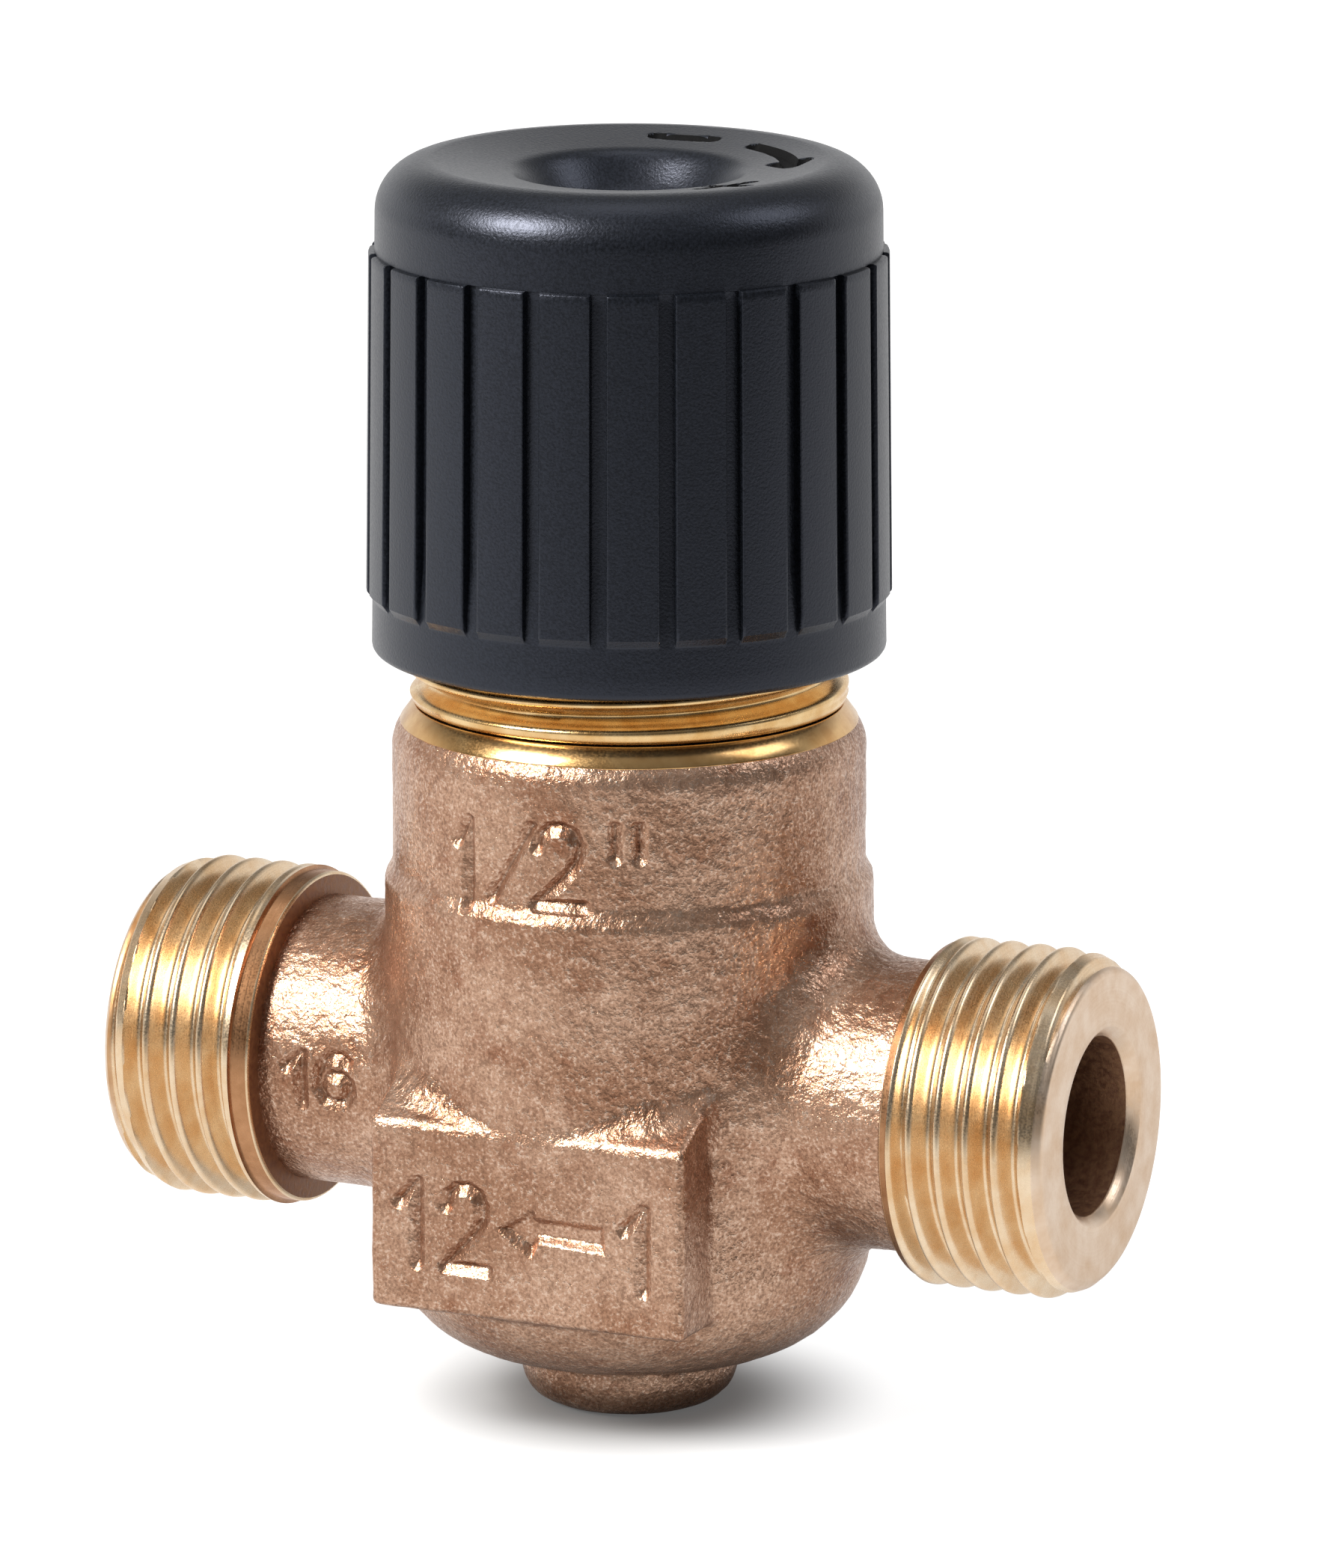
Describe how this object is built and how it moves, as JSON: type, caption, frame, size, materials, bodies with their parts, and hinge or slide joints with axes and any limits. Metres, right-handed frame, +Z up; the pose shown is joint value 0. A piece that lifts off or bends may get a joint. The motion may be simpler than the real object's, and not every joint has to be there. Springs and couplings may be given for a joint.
{
  "type": "threaded globe valve with hand knob",
  "caption": "Small straight-through globe valve with male pipe threads, brass bonnet collar and ribbed plastic hand knob that screws the plug onto its seat.",
  "frame": {"origin": "middle of the flat underside of the foot boss, on the stem axis", "axes": "+Z up along the stem, +X along the pipe axis out of the inlet end, -Y out of the lug with the flow signs"},
  "size_m": [0.062, 0.0316, 0.0765],
  "materials": {
    "cast_bronze": "sand cast, matt",
    "turned_brass": "turned, bright",
    "knob_plastic": "moulded, fine grain",
    "stainless_steel": "ground",
    "spring_steel": "drawn wire",
    "seal_rubber": "moulded",
    "seal_ptfe": "smooth"
  },
  "bodies": {
    "valve": {"valve_body": "cast_bronze", "seat_ring": "turned_brass", "bonnet": "turned_brass", "bonnet_o_ring": "seal_rubber", "stem_o_ring_lower": "seal_rubber", "stem_o_ring_upper": "seal_rubber", "spacer_ring": "seal_ptfe", "backup_washer": "turned_brass", "gland_nut": "turned_brass", "wiper_ring": "seal_ptfe", "spring_washer": "stainless_steel", "return_spring": "spring_steel"},
    "stem": {"stem": "stainless_steel", "spring_cap": "turned_brass", "stem_circlip": "spring_steel", "disc_holder": "turned_brass", "seat_disc": "seal_rubber", "flow_plug": "turned_brass", "lock_washer": "spring_steel", "plug_nut": "stainless_steel"},
    "knob": {"hand_knob": "knob_plastic"}
  },
  "joints": [
    {"name": "stem_lift", "type": "slide", "parent": "valve", "child": "stem", "axis": [0, 0, 1], "range_m": [-0.0025, 0.003], "deforming": ["return_spring"]},
    {"name": "knob_turn", "type": "hinge", "parent": "stem", "child": "knob", "pos_m": [0, 0, 0.0465], "axis": [0, 0, 1], "range_deg": [-496.1, 595.3]}
  ],
  "couplings": [
    {"joint": "knob_turn", "follows": "stem_lift", "rad_per_m": 3463.2}
  ]
}
